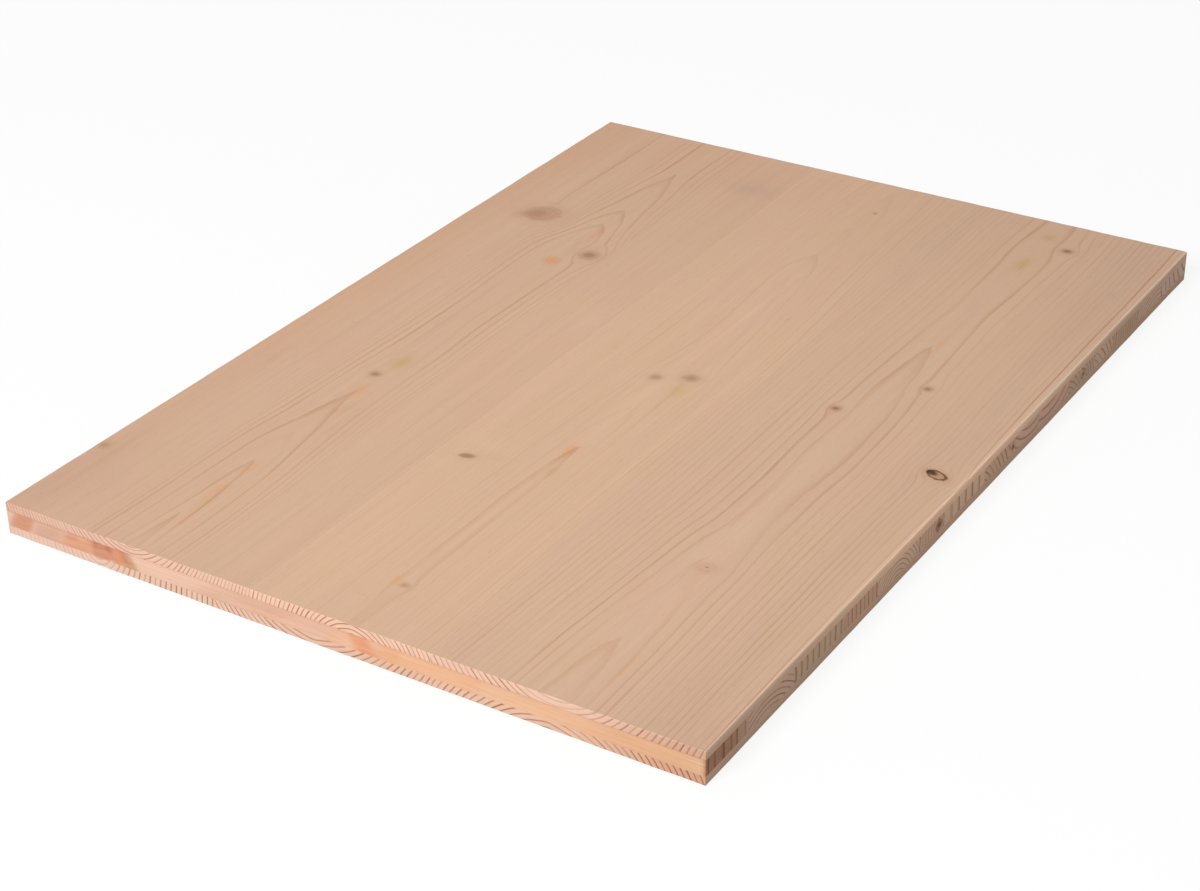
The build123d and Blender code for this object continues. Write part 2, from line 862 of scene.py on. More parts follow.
@dataclass(frozen=True)
class Softwood:
    """Bare sanded spruce, for strips whose fibres run one way.

    Attributes:
        name: Name of the material.
        grain: The way that the fibres run.
        early_face: Colour of the wood grown in spring, along the grain.
        late_face: Colour of the wood grown in summer, along the grain.
        early_end: Colour of the spring wood in the end grain.
        late_end: Colour of the summer wood in the end grain.
        late_share_face: Share of a ring that looks dark along the grain.
        late_share_end: Share of a ring that looks dark in the end grain.
        streakiness: How uneven the tone is along the fibres.
        shown_rings: Pairs of a ring's number and how well it shows along the grain. The others
            draw theirs.
        seed: Number that the rings' strengths are drawn from.
        red_knot: Colour of a live knot.
        grey_knot: Colour of a dead knot.
        canal: Colour of the pitch canals.
        warm: What the warm patches multiply the colour by.
        yellow: What the yellowish patches multiply it by.
        stray_face: How far fibres stray over a ring's edge along the grain, in rings.
        stray_end: The same in the end grain.
        darkest: Part of its year at which a ring is darkest.
        year_end: Part of its year from which a ring's dark side ends, sharply.
        drawn_power: How much more often a drawn ring is faint than dark, as a power.
        drawn_face: Least and greatest strength of a drawn ring along the grain.
        drawn_end: The same in the end grain.
        fading: Least and greatest strength of a stretch of a ring.
        streak: Share by which the fibres change the tone.
        band: Share by which wide bands change the tone.
        canal_noise: Where in its noise a pitch canal starts, and where it is full.
        canal_share: How strong the canals are.
        patch_share: How strong the warm and yellowish patches are.
        whole: Least strength of a colour spot, where the fibres break it up.
        roughness: Least and greatest roughness of a sanded face.
        sawn_roughness: How much rougher a sawn edge is.
        specular: How strong its plain reflection is.
        knot_drawing: How its knots are drawn.
        relief: Its fine relief.
    """

    name: str
    grain: Grain
    early_face: Colour = srgb(214, 177, 148)
    late_face: Colour = srgb(186, 136, 98)
    early_end: Colour = srgb(224, 187, 162)
    late_end: Colour = srgb(168, 106, 80)
    late_share_face: float = 0.4
    late_share_end: float = 0.44
    streakiness: float = 1.0
    shown_rings: tuple[tuple[int, float], ...] = ()
    seed: float = 0.0

    red_knot: Colour = srgb(172, 116, 90)
    grey_knot: Colour = srgb(160, 122, 84)
    canal: Colour = srgb(156, 110, 80)
    warm: Colour = (1.0, 0.955, 0.965)
    yellow: Colour = (1.0, 1.0, 0.93)
    stray_face: float = 0.22
    stray_end: float = 0.12
    darkest: float = 0.95
    year_end: float = 0.965
    drawn_power: float = 1.3
    drawn_face: Span = (0.15, 0.9)
    drawn_end: Span = (0.45, 1.0)
    fading: Span = (0.45, 1.15)
    streak: float = 0.043
    band: float = 0.025
    canal_noise: Span = (0.69, 0.76)
    canal_share: float = 0.22
    patch_share: float = 0.5
    whole: float = 0.7
    roughness: Span = (0.56, 0.68)
    sawn_roughness: float = 0.12
    specular: float = 0.35
    knot_drawing: KnotDrawing = KnotDrawing()
    relief: Relief = Relief()

    def noise(self, graph: Graph, pattern: Pattern) -> Socket:
        """One of the noises, laid along this wood's fibres, round 0.5.

        Args:
            graph: The material's nodes.
            pattern: Which noise.

        Returns:
            The noise.
        """
        across, along, *rest = pattern.value
        periods = [across, across, across]
        periods[self.grain.along] = along
        return graph.noise(tuple(periods), *rest)

    def material(self) -> bpy.types.Material:
        """The material, made at its first use of nodes that read the values at the corners.

        Returns:
            The material, ready for a strip.
        """
        if self.name in bpy.data.materials:
            return bpy.data.materials[self.name]
        material = blank_material(self.name)
        graph = Graph(material.node_tree)
        end_grain, sawn, line_strength = graph.parts(graph.vector("cut"))
        late, ring_dark = self.growth(graph, end_grain, line_strength)
        fibres = self.noise(graph, Pattern.FIBRES)
        face = graph.tint(ring_dark, self.early_face, self.late_face)
        end = graph.tint(ring_dark, self.early_end, self.late_end)
        wood = self.weathered(graph, graph.tint(end_grain, face, end), fibres)
        wood = graph.tint(1.0, wood, graph.vector("tone"), "MULTIPLY")
        wood = self.with_colour_spots(graph, wood)
        wood, knot_height = self.knotted(graph, wood)
        height = self.raised(graph, fibres, late, knot_height, sawn)
        self.surfaced(graph, wood, height, fibres, sawn)
        return material

    def growth(
        self, graph: Graph, end_grain: Socket, line_strength: Socket,
    ) -> tuple[Socket, Socket]:
        """The growth rings: how late in its year the wood grew, and how dark that makes it.

        The fraction of the ring number is the season. It darkens smoothly through the last part
        of the ring and ends sharply. Each ring draws a strength of its own, or has it given.

        Args:
            graph: The material's nodes.
            end_grain: 1 where the fibres are cut across and 0 along them.
            line_strength: How well the rings show in this part of the wood.

        Returns:
            The lateness and the darkness.
        """
        fray = self.noise(graph, Pattern.FRAY)
        stray = graph.blend(end_grain, self.stray_face, self.stray_end)
        frayed = graph.math("SUBTRACT", fray, 0.5)
        ring = graph.math("MULTIPLY_ADD", frayed, stray, graph.value("ring"))
        season = graph.math("FRACT", ring)
        number = graph.math("FLOOR", ring)
        share = graph.blend(end_grain, self.late_share_face, self.late_share_end)
        rise = graph.step(season, graph.math("SUBTRACT", 1.0, share), self.darkest)
        late = graph.math("MULTIPLY", rise, graph.fall(season, self.year_end, 1.0))
        seeded = graph.math("ADD", number, self.seed)
        white_noise = graph.node("ShaderNodeTexWhiteNoise", {"W": seeded}, noise_dimensions="1D")
        drawn = white_noise.outputs["Value"]
        faint = graph.math("POWER", drawn, self.drawn_power)
        strength = graph.scaled(faint, 0.0, 1.0, *self.drawn_face)
        for ring_number, given in self.shown_rings:
            same = graph.math("COMPARE", number, float(ring_number), 0.1)
            strength = graph.blend(same, strength, given)
        fade = graph.scaled(self.noise(graph, Pattern.FADING), 0.35, 0.65, *self.fading)
        on_face = graph.math("MULTIPLY", strength, fade)
        on_end = graph.scaled(drawn, 0.0, 1.0, *self.drawn_end)
        shown = graph.math("MULTIPLY", graph.blend(end_grain, on_face, on_end), line_strength)
        return late, graph.math("MINIMUM", graph.math("MULTIPLY", late, shown), 1.0)

    def weathered(self, graph: Graph, wood: Socket, fibres: Socket) -> Socket:
        """The uneven tone of the wood: fibres, pitch canals and wide warm and pale patches.

        Args:
            graph: The material's nodes.
            wood: Colour of the rings.
            fibres: The fibres' noise.

        Returns:
            The colour with its uneven tone.
        """
        uneven = self.streak * self.streakiness
        wood = graph.gain(wood, graph.scaled(fibres, 0.25, 0.75, 1 - uneven, 1 + uneven))
        bands = self.noise(graph, Pattern.BANDS)
        wood = graph.gain(wood, graph.scaled(bands, 0.3, 0.7, 1 - self.band, 1 + self.band))
        canals = self.noise(graph, Pattern.CANALS)
        wood = graph.tint(graph.step(canals, *self.canal_noise, self.canal_share), wood, self.canal)
        patch = self.noise(graph, Pattern.PATCHES)
        warmth = graph.step(patch, 0.5, 0.75, self.patch_share)
        wood = graph.tint(warmth, wood, self.warm, "MULTIPLY")
        yellowness = graph.fall(patch, 0.25, 0.5, self.patch_share)
        return graph.tint(yellowness, wood, self.yellow, "MULTIPLY")

    def with_colour_spots(self, graph: Graph, wood: Socket) -> Socket:
        """The stains and the painted light and shade laid over the wood, broken up a little along
        the fibres.
        """
        broken = graph.scaled(self.noise(graph, Pattern.BREAKS), 0.3, 0.7, self.whole, 1.0)
        return graph.tint(broken, wood, graph.vector("stain"), "MULTIPLY")

    def knotted(self, graph: Graph, wood: Socket) -> tuple[Socket, Socket]:
        """The knots laid over the wood.

        A knot is drawn by the distance from its middle in its own reach, with a ragged outline:
        a halo that fades outwards, a body with faint rings, a rim and a dark core. Halfway
        between two knots, where the place jumps from one to the other, the distance that the
        mesh carries keeps the middle from showing.

        Args:
            graph: The material's nodes.
            wood: Colour of the wood round the knots.

        Returns:
            The colour with the knots, and how far inside a knot a point is, from 0 to 1.
        """
        drawing = self.knot_drawing
        place = graph.vector("knot_place")
        body, core, rim = graph.parts(graph.vector("knot_look"))
        greyness, core_shift, core_reach = graph.parts(graph.vector("knot_tone"))
        ragged = graph.math("SUBTRACT", graph.noise_at(place, drawing.grain, 3.0, 0.6), 0.5)
        at_least = graph.math("MULTIPLY", graph.value("knot_distance"), drawing.near)
        smooth_radius = graph.math("MAXIMUM", graph.length(place), at_least)
        radius = graph.math("MULTIPLY_ADD", ragged, drawing.ragged, smooth_radius)
        colour = graph.tint(greyness, self.red_knot, self.grey_knot)

        strongest = graph.math("MAXIMUM", body, core)
        halo = graph.fall(radius, *drawing.halo, drawing.halo_share)
        wood = graph.tint(graph.math("MULTIPLY", halo, strongest), wood, colour)
        inside = graph.fall(radius, *drawing.body)
        year = graph.math("SINE", graph.math("MULTIPLY", radius, drawing.years))
        shade = graph.scaled(year, -1.0, 1.0, drawing.year_shade, 1.0)
        filled = graph.math("MULTIPLY", inside, graph.math("MULTIPLY", body, shade))
        wood = graph.tint(filled, wood, colour)

        rise = graph.step(radius, *drawing.rim_rise)
        line = graph.math("MULTIPLY", rise, graph.fall(radius, *drawing.rim_fall))
        wood = graph.browned(wood, graph.math("MULTIPLY", line, rim))

        shift = graph.node("ShaderNodeCombineXYZ", {"X": core_shift}).outputs["Vector"]
        from_core = graph.length(graph.moved(place, shift))
        off_middle = graph.math("MULTIPLY_ADD", ragged, drawing.ragged_core, from_core)
        solid, edge = (graph.math("MULTIPLY", core_reach, share) for share in drawing.core)
        heart = graph.math("MULTIPLY", graph.fall(off_middle, solid, edge), core)
        heart = graph.math("MULTIPLY", heart, graph.fall(radius, *drawing.core_fall))
        wood = graph.browned(wood, heart)
        return wood, graph.math("MULTIPLY", inside, strongest)

    def raised(
        self, graph: Graph, fibres: Socket, late: Socket, knot: Socket, sawn: Socket,
    ) -> Socket:
        """The fine relief in millimetres: fibres, proud summer wood, knots and saw marks.

        Args:
            graph: The material's nodes.
            fibres: The fibres' noise.
            late: How late a ring is.
            knot: How far inside a knot a point is.
            sawn: 1 on a sawn edge and 0 on a sanded face.

        Returns:
            The height.
        """
        relief = self.relief
        fuzz = graph.math("MULTIPLY", fibres, graph.blend(sawn, relief.fibres, relief.sawn_fibres))
        proud = graph.math("MULTIPLY_ADD", late, relief.late, fuzz)
        proud = graph.math("MULTIPLY_ADD", knot, relief.knot, proud)
        teeth = graph.math("MULTIPLY", graph.noise(*relief.teeth_noise), sawn)
        return graph.math("MULTIPLY_ADD", teeth, relief.teeth, proud)

    def surfaced(
        self, graph: Graph, wood: Socket, height: Socket, fibres: Socket, sawn: Socket,
    ) -> None:
        """Puts colour, roughness and relief together at the material's output.

        Args:
            graph: The material's nodes.
            wood: The finished colour.
            height: The relief.
            fibres: The fibres' noise.
            sawn: 1 on a sawn edge and 0 on a sanded face.
        """
        relief = {"Strength": self.relief.strength, "Distance": MILLIMETRE, "Height": height}
        bump = graph.node("ShaderNodeBump", relief)
        sanded = graph.scaled(fibres, 0.2, 0.8, *self.roughness)
        rough = graph.math("ADD", sanded, graph.math("MULTIPLY", sawn, self.sawn_roughness))
        inputs = {"Base Color": wood, "Roughness": rough, "Normal": bump.outputs["Normal"]}
        shader = graph.node("ShaderNodeBsdfPrincipled", inputs)
        shader.inputs["Specular IOR Level"].default_value = self.specular
        graph.node("ShaderNodeOutputMaterial", {"Surface": shader.outputs["BSDF"]})


# The strips that the panel is glued from

FAR_FROM_KNOTS = 50.0
"""Distance from the nearest knot, in its reach, past which a place is as good as without."""


@dataclass
class Strip:
    """A board or slat of the panel, dressed in place of its solid.

    Attributes:
        node: Name of the solid that it stands for.
        slot: The record's material slot; not used.
        grain: The way that its fibres run.
        trunk: The trunk that it was sawn from.
        finish: Its wood.
        gaps: Usual gaps between the lines of its surface along x, y and z.
        knots: Its knots.
        stains: Its stains, and the painted light and shade laid on it.
        lines: How well its rings show on the faces, as pairs of place across the grain and
            strength.
        end_lines: How well they show in the end grain, in the same way.
        showings: Patches of the face where they show better or worse.
        tone: What its colour is multiplied by, in red, green and blue.
        arris_gap: Gap between the lines of its surface at an outer edge.
        arris_reach: How far from the edge they are that close.
        joint_gap: The gap at a glued joint.
        joint_reach: How far from the joint they are that close.
        joint_groove: How deep the joint shows.
        joint_width: Half the width in which it shows.
        knot_gap: The gap at a knot.
        knot_spread: How far round a knot the lines are that close, in its reach.
        unevenness: Height of the waves that the sander leaves.
    """

    node: str
    slot: str
    grain: Grain
    trunk: Trunk
    finish: Softwood
    gaps: Point
    knots: tuple[Knot, ...] = ()
    stains: tuple[ColourSpot, ...] = ()
    lines: Curve = ((0.0, 0.6), (1.0, 0.6))
    end_lines: Curve = ((0.0, 1.0), (1.0, 1.0))
    showings: tuple[Showing, ...] = ()
    tone: Colour = (1.0, 1.0, 1.0)

    arris_gap: float = 0.12
    arris_reach: float = 0.9
    joint_gap: float = 0.12
    joint_reach: float = 0.7
    joint_groove: float = 0.03
    joint_width: float = 0.09
    knot_gap: float = 0.8
    knot_spread: float = 1.6
    unevenness: float = 0.02

    def limits(self) -> tuple[Array, Array]:
        """Lowest and highest corner of its solid, in millimetres."""
        low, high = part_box(self.node)
        return np.array(low) / MILLIMETRE, np.array(high) / MILLIMETRE

    def lattice(self, sheet: Sheet) -> tuple[Array, Array]:
        """Its square block as a surface, with closer lines at edges, joints and knots.

        Args:
            sheet: The panel.

        Returns:
            Corners and faces of the block.
        """
        low, high = self.limits()
        lines = []
        for axis in range(3):
            focuses = []
            for end, outside in ((low[axis], sheet.low[axis]), (high[axis], sheet.high[axis])):
                if abs(end - outside) < self.joint_width:
                    focuses.append(Focus(end, self.arris_reach, self.arris_gap))
                else:
                    focuses.append(Focus(end, self.joint_reach, self.joint_gap))
            if axis in (self.grain.along, self.grain.across):
                for knot in self.knots:
                    reach = self.knot_spread * knot.reach[axis]
                    focuses.append(Focus(knot.centre[axis], reach, self.knot_gap))
            lines.append(spread_lines(low[axis], high[axis], self.gaps[axis], focuses))
        return lattice_box(lines)

    def sunk(self, points: Array, sheet: Sheet) -> Array:
        """How deep the surface lies below the sheet's: at joints, at knots and in long waves.

        The joint is a bell curve of the distance to the nearest glued side, and a knot one of
        the distance from its middle. The waves are those that a drum sander leaves.

        Args:
            points: Points of the surface.
            sheet: The panel.

        Returns:
            The depth at each point, never less than nothing.
        """
        low, high = self.limits()
        sides = np.concatenate([points - low, high - points], axis=1)
        glued = np.concatenate([low - sheet.low, sheet.high - high]) > self.joint_width
        nearest = np.where(glued, sides, np.inf).min(axis=1)
        depth = self.joint_groove * np.exp(-((nearest / self.joint_width) ** 2))
        waves = ripples(self.trunk.seed + 5, points[:, 1], points[:, 0], 70.0, 160.0)
        depth += self.unevenness * (1 + np.clip(waves, -1, 1)) / 2
        for knot in self.knots:
            depth += knot.sunk * np.exp(-1.4 * (knot.local(points) ** 2).sum(axis=1))
        return depth

    def cut(self, outwards: Array) -> tuple[Array, Array]:
        """What the saw and the sander did at each corner.

        Args:
            outwards: Directions that face outwards.

        Returns:
            How far the fibres are cut across, and how far the surface is a sawn edge.
        """
        end_grain = np.abs(outwards[:, self.grain.along])
        sawn = 1 - np.abs(outwards[:, 2])
        return end_grain, sawn

    def knot_values(self, points: Array) -> dict[str, Array]:
        """The knot that is nearest to each corner, in its own reach, and its looks.

        Args:
            points: Points of the surface.

        Returns:
            Four arrays of values for the corners, by name.
        """
        nearest = np.full(len(points), FAR_FROM_KNOTS)
        places = np.full((len(points), 3), FAR_FROM_KNOTS)
        looks = np.zeros_like(places)
        tones = np.zeros_like(places)
        for knot in self.knots:
            place = knot.local(points)
            distance = np.linalg.norm(place, axis=1)
            closer = distance < nearest
            nearest[closer] = distance[closer]
            places[closer] = place[closer]
            looks[closer] = (knot.body, knot.core, knot.rim)
            tones[closer] = (knot.greyness, knot.core_shift, knot.core_reach)
        return {
            "knot_place": places,
            "knot_distance": nearest,
            "knot_look": looks,
            "knot_tone": tones,
        }

    def ring_strength(self, points: Array, end_grain: Array) -> Array:
        """How well the rings show at each corner, on the faces and in the end grain.

        Args:
            points: Points of the surface.
            end_grain: How far the fibres are cut across there.

        Returns:
            A strength for each corner.
        """
        across = points[:, self.grain.across]
        on_face = graded(across, self.lines)
        for showing in self.showings:
            on_face *= showing.at(points)
        return on_face + end_grain * (graded(across, self.end_lines) - on_face)

    def colour_spot_gain(self, points: Array) -> Array:
        """What its stains, and its painted light and shade, multiply the colour by at each corner.

        Args:
            points: Points of the surface.

        Returns:
            A factor for red, green and blue at each corner.
        """
        gain = np.ones((len(points), 3))
        for stain in self.stains:
            gain *= stain.gain(points)
        return gain

    def build(self, sheet: Sheet) -> bpy.types.Object:
        """Makes the strip's surface, dresses it and puts it in its solid's place.

        Args:
            sheet: The panel that it is part of.

        Returns:
            The finished piece.
        """
        square, faces = self.lattice(sheet)
        points, outwards, on_outside = sheet.rounded(square)
        points -= outwards * (self.sunk(points, sheet) * on_outside)[:, None]
        end_grain, sawn = self.cut(outwards)
        strength = self.ring_strength(points, end_grain)
        values = {
            "ring": self.trunk.rings(points, self.grain, self.knots),
            "cut": np.stack([end_grain, sawn, strength], axis=1),
            "stain": self.colour_spot_gain(points),
            "tone": np.tile(self.tone, (len(points), 1)),
            **self.knot_values(points),
        }
        piece = mesh_object(f"dressed_{self.node}", points * MILLIMETRE, faces, values)
        piece.data.materials.append(self.finish.material())
        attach(piece, next(iter(frame["bodies"])))
        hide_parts(self.node)
        return piece


# Sub-assemblies

THROUGH = 40.0
# Upright reach of a knot or colour spot that goes right through its board.
"""Upright reach of a knot or stain that goes right through its board."""

ENDLESS = 2000.0
# Reach of a colour spot that runs the whole length of its board.
"""Reach of a stain that runs the whole length of its board."""

FRONT = -300.0
"""Place of the front edge."""

SIDE = 210.0
"""Place of the right edge."""

OUTSIDE = 0.5
# How far outside an edge the middle of its own colour spots lies, so that they fade inwards.
"""How far outside an edge the middle of its own stains lies, so that they fade inwards."""

UPPER_JOINT = 14.0
"""Height of the joint between the core and the top ply."""


def front_band(kind: Mark, x: float, wide: float, strength: float, height: float) -> ColourSpot:
    """A stain of the front edge's end grain, which does not reach into the face."""
    return ColourSpot(kind, (x, FRONT - OUTSIDE, height), (wide, 1.0, THROUGH), strength, 3.0)


def side_band(kind: Mark, y: float, long: float, strength: float, height: float) -> ColourSpot:
    """A colour spot of the right edge, which does not reach into the face, for stains and painted
    light and shade.
    """
    return ColourSpot(kind, (SIDE + OUTSIDE, y, height), (1.0, long, THROUGH), strength, 3.0)


def glue_line() -> ColourSpot:
    """The dark line of the upper joint, where it comes out at the front edge."""
    return ColourSpot(Mark.UMBER, (0, FRONT - OUTSIDE, UPPER_JOINT), (ENDLESS, 1.0, 0.6), 0.42)


def heart_line(side: Heart, face: float, path: Sequence[Point]) -> tuple[Point, ...]:
    """The line of a trunk's heart.

    Args:
        side: The side of the face on which it lies.
        face: Height of the face.
        path: Its places along and across the fibres, each with its distance from the face.

    Returns:
        The same places with their heights.
    """
    return tuple((along, across, face + side.value * gap) for along, across, gap in path)


def rings_from(first: int, *strengths: float) -> tuple[tuple[int, float], ...]:
    """How well the rings show from one ring outwards, as pairs of number and strength."""
    return tuple(enumerate(strengths, first))


class Ply:
    """A layer of strips that are glued side by side."""

    def strips(self) -> Sequence[Strip]:
        """Its strips, in the order of their numbers."""
        raise NotImplementedError

    def build(self, sheet: Sheet) -> list[bpy.types.Object]:
        """Makes and dresses the strips."""
        return [strip.build(sheet) for strip in self.strips()]


@dataclass
class TopPly(Ply):
    """The upper face ply: three boards whose fibres run along the panel.

    Attributes:
        gaps: Usual gaps between the lines of the surface.
        face: Height of the face.
    """

    gaps: Point = (1.5, 3.4, 0.8)
    face: float = 19.0

    def spots(self, kind: Mark, *rows: tuple[float, ...]) -> tuple[ColourSpot, ...]:
        """Soft colour spots of one kind on the face, for stains and for painted light and shade.

        Args:
            kind: Their colour.
            rows: For each its place as x and y, its reach along x and y, and its strength.

        Returns:
            The spots.
        """
        return tuple(
            ColourSpot(kind, (x, y, self.face), (wide, long, THROUGH), strength)
            for x, y, wide, long, strength in rows
        )

    def shared_stains(self, number: int) -> tuple[ColourSpot, ...]:
        """The painted shade, grey stain and glue line that a board shares, by its number.

        The painted shade makes the back of the face darker and warmer. It and the grey stain run on
        over a joint.

        Args:
            number: Number of the board, from the left.

        Returns:
            What it shares of those.
        """
        # Painted shade: the back of the face made darker and warmer, where the lamp's light falls
        # off. The grey spot is a stain in the wood.
        back_left_shade = self.spots(Mark.PITCH, (-120, 330, 160, 110, 0.16))
        back_right_shade_and_stain = (
            *self.spots(Mark.UMBER, (120, 310, 130, 115, 0.18)),
            *self.spots(Mark.GREY, (55, 240, 45, 90, 0.2)),
        )
        on_board = {1: back_left_shade, 2: back_left_shade + back_right_shade_and_stain, 3: back_right_shade_and_stain}
        return (*on_board[number], glue_line())

    def board(
        self, number: int, trunk: Trunk, shown: tuple[tuple[int, float], ...],
        stains: tuple[ColourSpot, ...], **others: tuple,
    ) -> Strip:
        """One board.

        Args:
            number: Its number from the left.
            trunk: The trunk that it was sawn from.
            shown: How well some of its rings show, as pairs of number and strength.
            stains: Its own stains, and painted light and shade.
            others: Its knots, lines, end_lines, showings and tone.

        Returns:
            The board, not yet built.
        """
        finish = Softwood(
            f"top_board_wood_{number}", Grain.ALONG_PANEL, shown_rings=shown, seed=number,
        )
        return Strip(
            f"top_board_{number}", "top_boards", Grain.ALONG_PANEL, trunk, finish, self.gaps,
            stains=stains + self.shared_stains(number), **others,
        )

    def left_board(self) -> Strip:
        """The left board, with its heart close above it and a run of long pointed arches.

        Returns:
            The board, not yet built.
        """
        heart = heart_line(Heart.ABOVE, self.face, (
            (-300, -124.6, 22.2), (-243, -124, 23.3), (-203, -125, 24.1), (-182, -126, 25.2),
            (-148, -126, 27.3), (-104, -126, 28.8), (-52, -125, 29.4), (0, -125.3, 30.2),
            (56, -125.4, 30.0), (83, -125.6, 29.9), (109, -126, 30.4), (152, -126, 34.5),
            (178, -125, 36.9), (196, -124.5, 37.8), (235, -124, 39.8), (300, -123.5, 39.9),
        ))
        radii = (22.9, 24.1, 26.5, 28.9, 31.7, 34.5, 36.9, 39.8)
        knots = (
            Knot((-166, 146, 17), (12.5, 11, THROUGH), 20, body=0.5, core=0.14, core_reach=0.5,
                 rim=0.04, greyness=0.0, core_shift=0.3),
            Knot((-107, 108, 17), (7.8, 7.2, THROUGH), body=0.42, core=0.26, rim=0.0, greyness=0.7),
            Knot((-128, -87, 17), (4.1, 3.7, THROUGH), body=0.44, core=0.24, rim=0.0, greyness=0.7),
            Knot((-206, -228, 17), (3.6, 3.8, THROUGH), body=0.25, core=0.1, rim=0.0, greyness=1.0),
        )
        stains = (
            ColourSpot(Mark.PITCH, (-123, 90, self.face), (5.4, 6.2, THROUGH), 0.95, 4.0),
            *self.spots(
                Mark.UMBER, (-178, 139, 5, 6, 0.3), (-192, -110, 3, 45, 0.12),
                (-196, -235, 4, 35, 0.12), (-167.3, 238, 1.5, 62, 0.28), (-190, -100, 1.6, 10, 0.2),
                (-212, 60, 22, 260, 0.05), (-214, -290, 16, 50, 0.25), (-205, 280, 30, 60, 0.08),
            ),
            *self.spots(
                Mark.ROSE, (-202, -190, 24, 110, 0.22), (-80, -305, 120, 45, 0.16),
                (-60, 250, 40, 34, 0.22), (-185, -262, 44, 60, 0.42),
            ),
            *self.spots(
                Mark.OLIVE, (-206, -228, 4.5, 5, 0.5), (-123, -68, 5, 8, 0.95),
                (-118, -129, 3, 8, 0.5), (-120, -248, 2.6, 7, 0.5),
            ),
            # Painted light: a broad pool of light in the middle of the face, which goes on over the
            # middle board.
            *self.spots(Mark.BRIGHT, (-40, 10, 110, 130, 0.14)),
            *self.spots(
                Mark.PITCH, (-212, 100, 24, 250, 0.24), (-120, 137, 1.8, 11, 0.7),
                (-124, -107, 3.6, 7, 0.65), (-122, -207, 2.4, 8, 0.6), (-123, -234, 2.6, 9, 0.5),
                (-119, -262, 2, 8, 0.45),
            ),
            *self.spots(Mark.GREY, (-68, 247, 15, 9, 0.55)),
            *self.spots(Mark.PALE, (-60, 32, 7, 16, 0.5)),
            front_band(Mark.ROSE, -185, 70, 0.5, self.face),
        )
        return self.board(
            1, Trunk(2.1, heart, radii, 7, ridge=0.35, ridge_reach=3.5, seed=10),
            rings_from(6, 0.45, 0.52, 0.1, 0.58, 0.12, 0.55, 0.55, 0.42, 0.36, 0.25, 0.32, 0.12,
                       0.15, 0.1, 0.1, 0.1, 0.9, 0.1, 0.1),
            stains, knots=knots,
            lines=((-210, 0.2), (-196, 0.25), (-192, 0.35), (-188, 0.2), (-160, 0.28),
                   (-150, 0.95), (-137, 1.0), (-124, 0.95), (-111, 1.0), (-99, 0.95), (-92, 0.42),
                   (-75, 0.27), (-48, 0.22)),
            end_lines=((-210, 0.7), (-150, 0.9), (-125, 1.1), (-100, 1.1), (-60, 0.95)),
            showings=(
                Showing((-168.5, 240), (4.5, 70), 3.8),
                Showing((-125, 268), (30, 36), 1.8),
                Showing((-122, -262), (16, 34), 1.3),
            ),
            tone=(0.965, 0.955, 0.95),
        )

    def middle_board(self) -> Strip:
        """The middle board, with its heart below it, nearly plain on its left.

        Returns:
            The board, not yet built.
        """
        heart = heart_line(Heart.BELOW, self.face, (
            (-300, 14.5, 20.0), (-280, 14.5, 19.9), (-240, 14.5, 19.7), (-200, 14.5, 19.6),
            (-150, 14.2, 19.6), (-125, 15, 19.9), (-98, 15.8, 20.5), (-60, 17.5, 21.9),
            (0, 21, 24.8), (44, 22, 26.4), (110, 18, 27.2), (150, 14.2, 27.9), (184, 14.5, 30.3),
            (300, 16, 36.0),
        ))
        radii = (15.3, 17.9, 20.5, 23.0, 25.6, 28.0, 30.3)
        knots = (
            Knot((-29.5, -137, 17), (5.4, 2.8, THROUGH), 14, body=0.36, core=0.3, core_reach=0.85,
                 rim=0.0, greyness=0.6, core_shift=0.2),
            Knot((11, -9, 17), (4.5, 4.3, THROUGH), body=0.36, core=0.15, rim=0.0, greyness=0.9),
            Knot((29, 0, 17), (5.8, 5.0, THROUGH), body=0.44, core=0.16, rim=0.0, greyness=0.9),
            Knot((16, -258, 17), (3.4, 2.6, THROUGH), body=0.3, core=0.12, rim=0.0, greyness=0.4),
            Knot((18, 254, 17), (1.8, 1.6, THROUGH), body=0.32, core=0.2, rim=0.0),
            Knot((41, 93, 17), (1.2, 1.1, THROUGH), body=0.16, core=0.1, rim=0.0),
        )
        stains = (
            *self.spots(Mark.PITCH, (14, -104, 3, 6.5, 0.75), (10, -256, 1.8, 6, 0.6)),
            *self.spots(Mark.OLIVE, (18, -128, 3.4, 6, 0.6), (31, -18, 4, 7, 0.6)),
            *self.spots(Mark.GREY, (-16, -131, 8, 2.6, 0.5)),
            *self.spots(
                Mark.PALE, (15, -195, 3.2, 75, 0.4), (18, 85, 8, 55, 0.45), (14, -42, 9, 26, 0.35),
                (-27, -121, 13, 6, 0.4), (-42, -150, 9, 5, 0.35),
            ),
            *self.spots(Mark.ROSE, (-30, 262, 24, 30, 0.12), (20, -305, 150, 45, 0.22)),
            # Painted light: the broad pool of light in the middle of the face, which goes on over
            # the left board.
            *self.spots(Mark.BRIGHT, (-40, 10, 110, 130, 0.1)),
        )
        return self.board(
            2, Trunk(2.6, heart, radii, 5, wander=0.05, ridge=0.3, ridge_reach=2.0, seed=20),
            rings_from(6, 0.3, 0.12, 0.1, 0.12, 0.34, 0.12, 0.2, 0.12, 0.15),
            stains, knots=knots,
            lines=((-48, 0.15), (-30, 0.15), (-8, 0.4), (4, 0.9), (25, 0.9), (40, 0.5), (60, 0.4)),
            end_lines=((-48, 1.1), (-12, 1.5), (15, 1.3), (40, 1.1), (60, 1.0)),
            showings=(
                Showing((20, 230), (40, 80), 0.6),
                Showing((15.5, -104), (8, 15), 2.0),
                Showing((28, -42), (5, 26), 2.4),
            ),
            tone=(1.01, 1.005, 0.99),
        )

